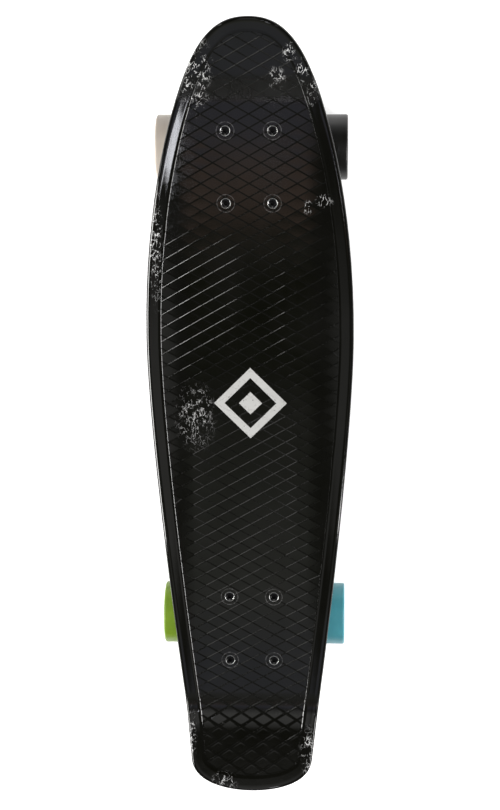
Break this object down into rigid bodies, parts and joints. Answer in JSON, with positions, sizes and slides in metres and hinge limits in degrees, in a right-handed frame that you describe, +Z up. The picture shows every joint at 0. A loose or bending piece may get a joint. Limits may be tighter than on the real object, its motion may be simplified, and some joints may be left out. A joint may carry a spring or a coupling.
{
  "type": "plastic skateboard",
  "caption": "Moulded plastic cruiser skateboard with a waffle-top deck, steering trucks and wheels on sealed bearings.",
  "frame": {"origin": "on the ground under the middle of the board's length and width, where the wheels stand", "axes": "+Y towards the nose, +X to the rider's right when facing the nose, +Z up"},
  "size_m": [0.1862, 0.712, 0.1304],
  "materials": {
    "deck_plastic": "moulded black polypropylene, satin",
    "cast_aluminium": "raw tumbled casting",
    "zinc_steel": "zinc plated",
    "black_zinc": "black zinc plated",
    "bearing_steel": "ground steel races with black seals",
    "bushing_urethane": "cast urethane, black",
    "cup_nylon": "moulded, black",
    "cream_urethane": "cast urethane, cream",
    "black_urethane": "cast urethane, black",
    "lime_urethane": "cast urethane, lime green",
    "teal_urethane": "cast urethane, teal blue, slightly translucent"
  },
  "bodies": {
    "board": {"deck": "deck_plastic", "front_mount_bolt_1": "black_zinc", "front_mount_bolt_2": "black_zinc", "front_mount_bolt_3": "black_zinc", "front_mount_bolt_4": "black_zinc", "front_mount_nut_1": "zinc_steel", "front_mount_nut_2": "zinc_steel", "front_mount_nut_3": "zinc_steel", "front_mount_nut_4": "zinc_steel", "front_baseplate": "cast_aluminium", "front_pivot_cup": "cup_nylon", "front_kingpin": "zinc_steel", "front_kingpin_nut": "zinc_steel", "front_board_washer": "zinc_steel", "front_board_bushing": "bushing_urethane", "front_road_bushing": "bushing_urethane", "front_road_washer": "zinc_steel", "rear_mount_bolt_1": "black_zinc", "rear_mount_bolt_2": "black_zinc", "rear_mount_bolt_3": "black_zinc", "rear_mount_bolt_4": "black_zinc", "rear_mount_nut_1": "zinc_steel", "rear_mount_nut_2": "zinc_steel", "rear_mount_nut_3": "zinc_steel", "rear_mount_nut_4": "zinc_steel", "rear_baseplate": "cast_aluminium", "rear_pivot_cup": "cup_nylon", "rear_kingpin": "zinc_steel", "rear_kingpin_nut": "zinc_steel", "rear_board_washer": "zinc_steel", "rear_board_bushing": "bushing_urethane", "rear_road_bushing": "bushing_urethane", "rear_road_washer": "zinc_steel"},
    "front_truck": {"front_hanger": "cast_aluminium", "front_axle": "zinc_steel", "front_left_bearing_core": "zinc_steel", "front_left_axle_nut": "zinc_steel", "front_right_bearing_core": "zinc_steel", "front_right_axle_nut": "zinc_steel"},
    "rear_truck": {"rear_hanger": "cast_aluminium", "rear_axle": "zinc_steel", "rear_left_bearing_core": "zinc_steel", "rear_left_axle_nut": "zinc_steel", "rear_right_bearing_core": "zinc_steel", "rear_right_axle_nut": "zinc_steel"},
    "front_left_wheel": {"front_left_wheel": "cream_urethane", "front_left_inner_bearing": "bearing_steel", "front_left_outer_bearing": "bearing_steel"},
    "front_right_wheel": {"front_right_wheel": "black_urethane", "front_right_inner_bearing": "bearing_steel", "front_right_outer_bearing": "bearing_steel"},
    "rear_left_wheel": {"rear_left_wheel": "lime_urethane", "rear_left_inner_bearing": "bearing_steel", "rear_left_outer_bearing": "bearing_steel"},
    "rear_right_wheel": {"rear_right_wheel": "teal_urethane", "rear_right_inner_bearing": "bearing_steel", "rear_right_outer_bearing": "bearing_steel"}
  },
  "joints": [
    {"name": "front_steer", "type": "hinge", "parent": "board", "child": "front_truck", "pos_m": [0, 0.21068, 0.05239], "axis": [0, -0.8863, -0.4631], "range_deg": [-12, 12], "stiffness_Nm_per_rad": 25, "deforming": ["front_board_bushing", "front_road_bushing"]},
    {"name": "rear_steer", "type": "hinge", "parent": "board", "child": "rear_truck", "pos_m": [0, -0.19068, 0.05239], "axis": [0, 0.8863, -0.4631], "range_deg": [-12, 12], "stiffness_Nm_per_rad": 25, "deforming": ["rear_board_bushing", "rear_road_bushing"]},
    {"name": "front_left_spin", "type": "hinge", "parent": "front_truck", "child": "front_left_wheel", "pos_m": [-0.06425, 0.236, 0.0295], "axis": [1, 0, 0], "continuous": true},
    {"name": "front_right_spin", "type": "hinge", "parent": "front_truck", "child": "front_right_wheel", "pos_m": [0.06425, 0.236, 0.0295], "axis": [1, 0, 0], "continuous": true},
    {"name": "rear_left_spin", "type": "hinge", "parent": "rear_truck", "child": "rear_left_wheel", "pos_m": [-0.06425, -0.216, 0.0295], "axis": [1, 0, 0], "continuous": true},
    {"name": "rear_right_spin", "type": "hinge", "parent": "rear_truck", "child": "rear_right_wheel", "pos_m": [0.06425, -0.216, 0.0295], "axis": [1, 0, 0], "continuous": true}
  ]
}
